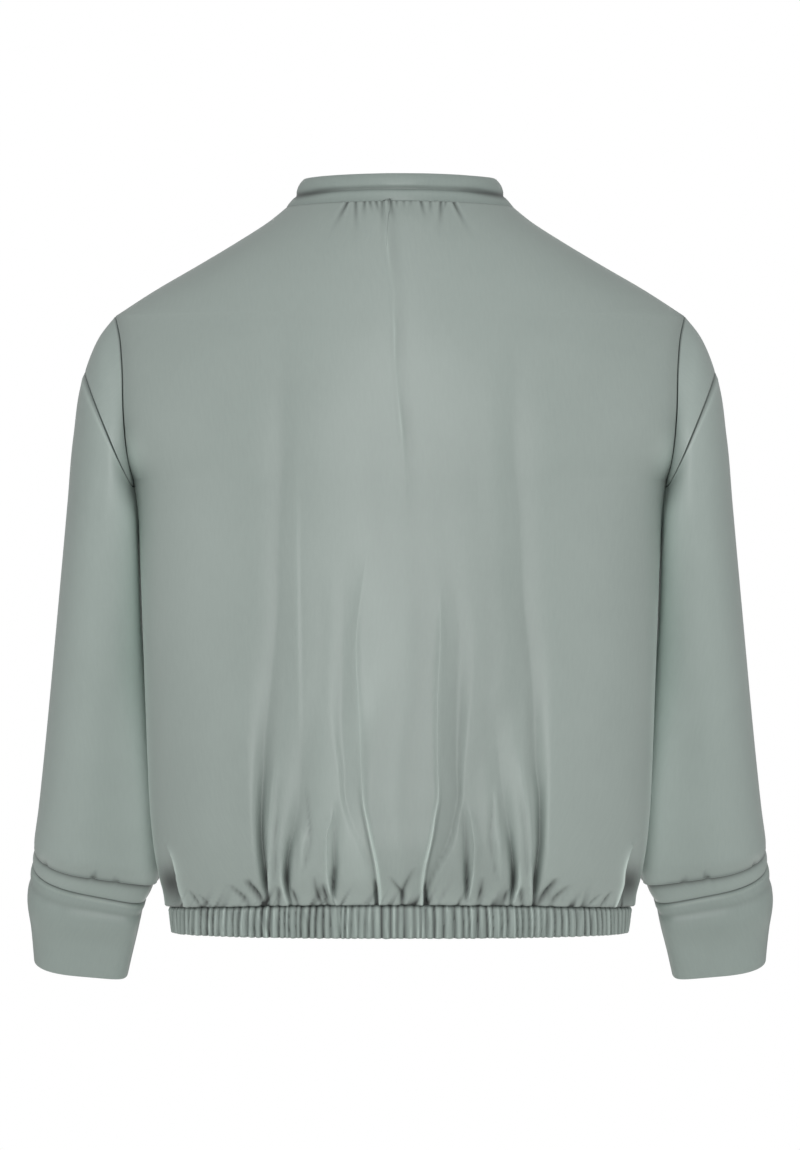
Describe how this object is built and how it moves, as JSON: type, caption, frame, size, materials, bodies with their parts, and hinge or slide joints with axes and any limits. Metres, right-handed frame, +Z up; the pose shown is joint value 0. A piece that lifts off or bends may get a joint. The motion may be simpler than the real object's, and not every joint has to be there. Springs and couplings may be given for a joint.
{
  "type": "satin bomber jacket, filled out with no wearer",
  "caption": "Long-sleeved satin bomber jacket in its worn, hollow shape, with a stand collar, shoulder insets, bloused sleeves, wide cuffs, a front zip and a gathered hem band.",
  "frame": {"origin": "middle of the neck opening, at the height of the collar's foot at its sides, where the wearer's neck and shoulders hold the jacket", "axes": "+Z up; +Y the way the wearer faces, where the zip is, so the back faces -Y; +X the wearer's right"},
  "size_m": [0.6818, 0.304, 0.7226],
  "materials": {
    "satin": "satin",
    "satin_band": "satin",
    "zip_tape": "matte",
    "zip_teeth": "satin",
    "zip_metal": "polished"
  },
  "bodies": {
    "jacket": {"back": "satin", "front_left": "satin", "front_right": "satin", "sleeve_head_left": "satin", "sleeve_head_right": "satin", "sleeve_left": "satin", "sleeve_right": "satin", "cuff_left": "satin_band", "cuff_right": "satin_band", "collar": "satin_band", "hem_band": "satin_band", "zip_tape_left": "zip_tape", "zip_tape_right": "zip_tape", "zip_chain": "zip_teeth", "zip_box": "zip_teeth", "zip_slider": "zip_metal"},
    "pull_tab": {"zip_pull": "zip_metal"}
  },
  "joints": [
    {"name": "pull_tab_swing", "type": "hinge", "parent": "jacket", "child": "pull_tab", "pos_m": [0, 0.06489, -0.01944], "axis": [1, 0, 0], "range_deg": [0, 150]}
  ]
}
